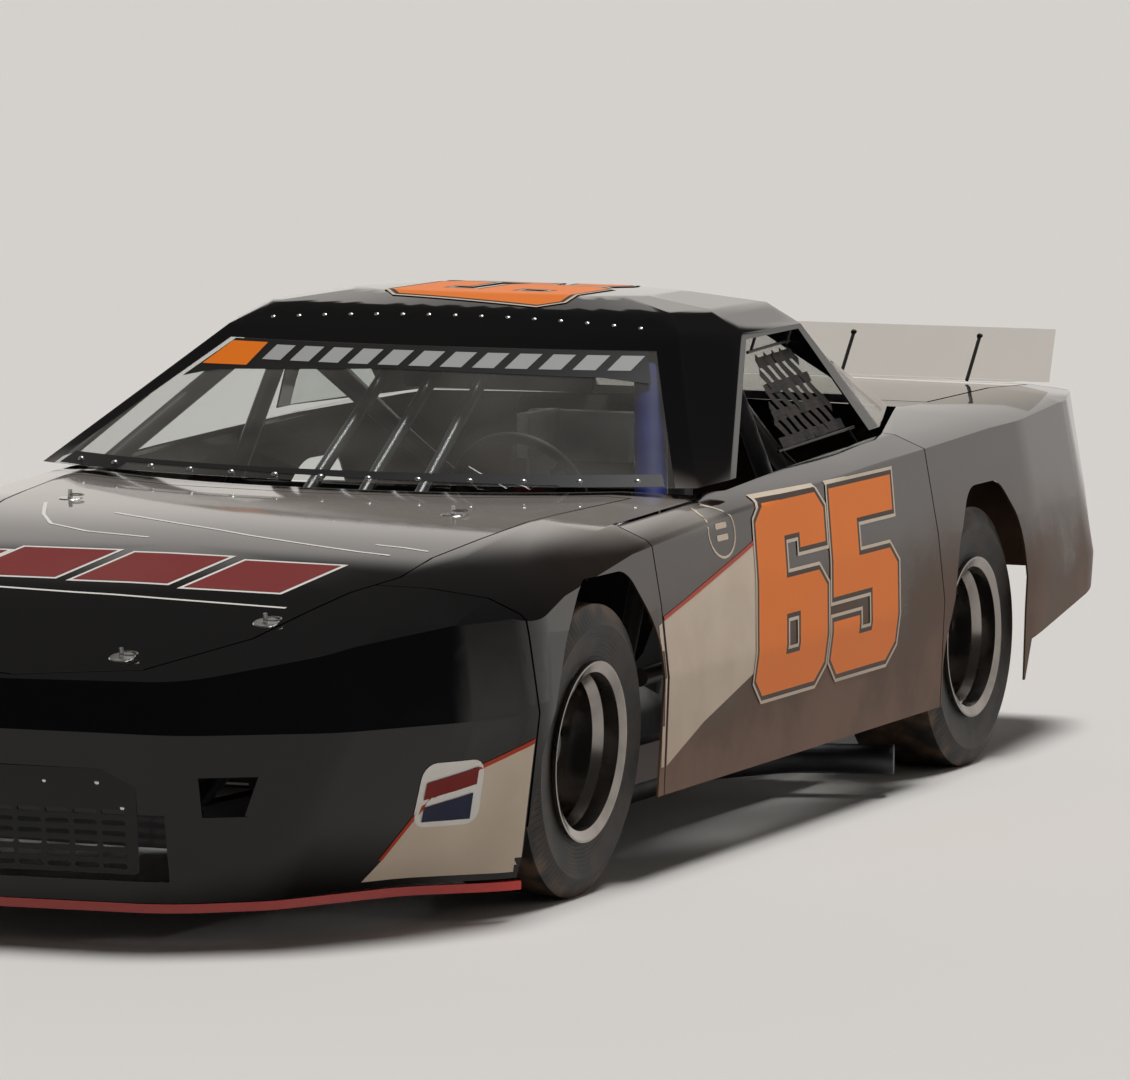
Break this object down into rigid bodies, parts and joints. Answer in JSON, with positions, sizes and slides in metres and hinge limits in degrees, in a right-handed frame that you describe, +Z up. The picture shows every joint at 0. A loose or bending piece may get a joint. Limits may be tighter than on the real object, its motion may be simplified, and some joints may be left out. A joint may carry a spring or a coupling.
{
  "type": "stock car",
  "caption": "Short-track stock car with a low panelled body, a tube frame and cage, a cockpit behind clear windows, wide-rim wheels, steering, a lift-off hood and a hinged rear deck.",
  "frame": {"origin": "on the ground under the middle of the car's length and width", "axes": "+Z up, -Y is the way the car drives, +X towards its left side, where the driver sits"},
  "size_m": [1.98, 4.89, 1.268],
  "materials": {
    "gloss_black_body": "gloss",
    "red_strip": "satin",
    "clear_polycarbonate": "clear",
    "painted_tube": "satin",
    "bare_sheet": "brushed",
    "black_panel": "matte",
    "tyre_rubber": "matte",
    "rim_steel": "polished lip",
    "hub_alloy": "machined",
    "axle_iron": "cast",
    "suspension_steel": "satin",
    "engine_iron": "cast",
    "wheel_alloy": "rubber covered rim",
    "net_webbing": "woven"
  },
  "bodies": {
    "chassis": {"nose": "gloss_black_body", "cowl": "gloss_black_body", "fender_left": "gloss_black_body", "fender_right": "gloss_black_body", "door_left": "gloss_black_body", "door_right": "gloss_black_body", "quarter_left": "gloss_black_body", "quarter_right": "gloss_black_body", "tail": "gloss_black_body", "greenhouse": "gloss_black_body", "quarter_windows": "gloss_black_body", "front_lip": "red_strip", "windshield": "clear_polycarbonate", "rear_window": "clear_polycarbonate", "roll_cage": "painted_tube", "frame": "painted_tube", "floor_pan": "bare_sheet", "seat": "bare_sheet", "radiator": "bare_sheet", "fuel_cell": "bare_sheet", "dash": "black_panel", "rear_axle": "axle_iron", "front_suspension": "suspension_steel", "rear_suspension": "suspension_steel", "steering_rack": "suspension_steel", "steering_column": "suspension_steel", "controls": "suspension_steel", "exhaust": "suspension_steel", "engine": "engine_iron", "driveline": "engine_iron", "window_net": "net_webbing"},
    "hood": {"hood": "gloss_black_body"},
    "decklid": {"decklid": "gloss_black_body", "spoiler": "clear_polycarbonate"},
    "knuckle_left": {"knuckle_left": "axle_iron"},
    "knuckle_right": {"knuckle_right": "axle_iron"},
    "steering_link": {"steering_link": "suspension_steel"},
    "steering_wheel": {"steering_wheel": "wheel_alloy"},
    "wheel_front_left": {"tyre_front_left": "tyre_rubber", "rim_front_left": "rim_steel", "hub_front_left": "hub_alloy"},
    "wheel_front_right": {"tyre_front_right": "tyre_rubber", "rim_front_right": "rim_steel", "hub_front_right": "hub_alloy"},
    "wheel_rear_left": {"tyre_rear_left": "tyre_rubber", "rim_rear_left": "rim_steel", "hub_rear_left": "hub_alloy"},
    "wheel_rear_right": {"tyre_rear_right": "tyre_rubber", "rim_rear_right": "rim_steel", "hub_rear_right": "hub_alloy"}
  },
  "joints": [
    {"name": "steer_left", "type": "hinge", "parent": "chassis", "child": "knuckle_left", "pos_m": [0.65, -1.32, 0.335], "axis": [-0.1045, 0, 0.9945], "range_deg": [-25, 25]},
    {"name": "steer_right", "type": "hinge", "parent": "chassis", "child": "knuckle_right", "pos_m": [-0.65, -1.32, 0.335], "axis": [0.1045, 0, 0.9945], "range_deg": [-25, 25]},
    {"name": "rack_slide", "type": "slide", "parent": "chassis", "child": "steering_link", "axis": [1, 0, 0], "range_m": [-0.054, 0.054]},
    {"name": "steering_wheel_turn", "type": "hinge", "parent": "chassis", "child": "steering_wheel", "pos_m": [0.34, -0.33, 0.8], "axis": [0, 0.9511, 0.309], "range_deg": [-252, 252]},
    {"name": "spin_front_left", "type": "hinge", "parent": "knuckle_left", "child": "wheel_front_left", "pos_m": [0.812, -1.32, 0.3434], "axis": [0.9986, 0, -0.0523], "continuous": true},
    {"name": "spin_front_right", "type": "hinge", "parent": "knuckle_right", "child": "wheel_front_right", "pos_m": [-0.812, -1.32, 0.3434], "axis": [0.9986, 0, -0.0523], "continuous": true},
    {"name": "spin_rear_left", "type": "hinge", "parent": "chassis", "child": "wheel_rear_left", "pos_m": [0.812, 1.26, 0.338], "axis": [1, 0, 0], "continuous": true},
    {"name": "spin_rear_right", "type": "hinge", "parent": "chassis", "child": "wheel_rear_right", "pos_m": [-0.812, 1.26, 0.338], "axis": [1, 0, 0], "continuous": true},
    {"name": "hood_lift", "type": "slide", "parent": "chassis", "child": "hood", "axis": [0, 0, 1], "range_m": [0, 0.35]},
    {"name": "decklid_hinge", "type": "hinge", "parent": "chassis", "child": "decklid", "pos_m": [0, 1.57, 0.921], "axis": [1, 0, 0], "range_deg": [0, 60]}
  ],
  "couplings": [
    {"joint": "steer_right", "follows": "steer_left", "ratio": 1},
    {"joint": "rack_slide", "follows": "steer_left", "m_per_rad": 0.121},
    {"joint": "steering_wheel_turn", "follows": "steer_left", "ratio": 10}
  ]
}
